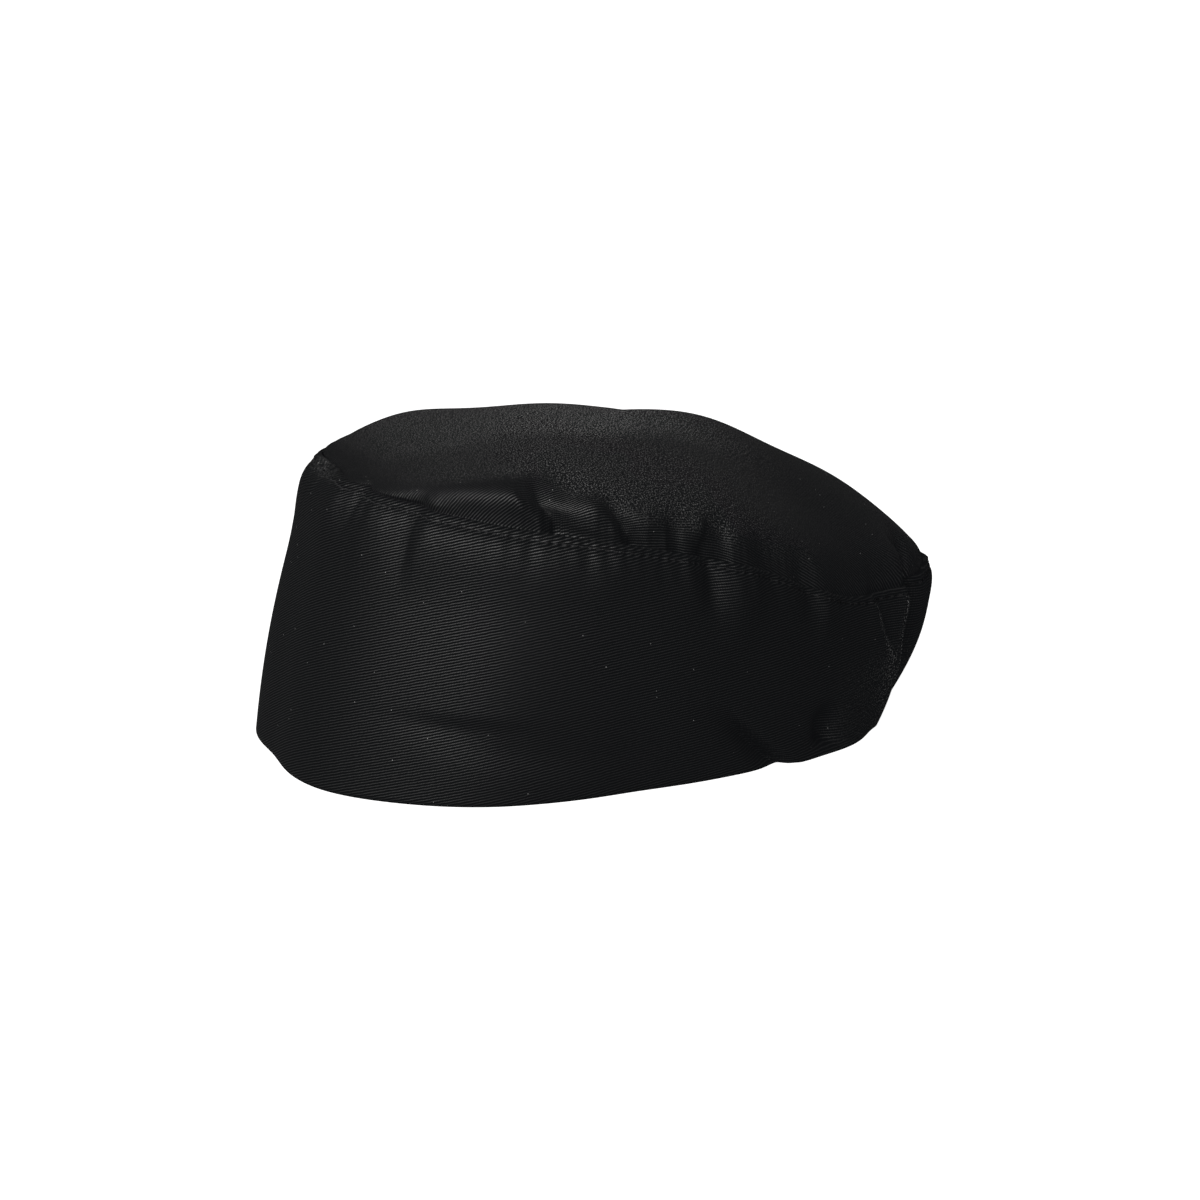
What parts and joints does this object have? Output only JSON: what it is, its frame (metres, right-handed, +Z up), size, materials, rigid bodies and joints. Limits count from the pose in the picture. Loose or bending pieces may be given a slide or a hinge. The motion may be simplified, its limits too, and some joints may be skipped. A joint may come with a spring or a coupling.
{
  "type": "chef hat",
  "caption": "Soft black skull cap for kitchen work: a side band tall at the front and low at the drawn-in back, with a puffed top panel gathered into it.",
  "frame": {"origin": "on the floor under the middle of the hat's outline, in the plane of the hem", "axes": "+Z up, the front of the hat faces -Y and its drawn-in back +Y, the wearer's left side is +X"},
  "size_m": [0.1732, 0.2226, 0.1022],
  "materials": {
    "band_twill": "matt black cotton and polyester twill",
    "top_twill": "matt black cotton and polyester twill"
  },
  "bodies": {
    "root": {"band": "band_twill", "top_panel": "top_twill"}
  },
  "joints": []
}
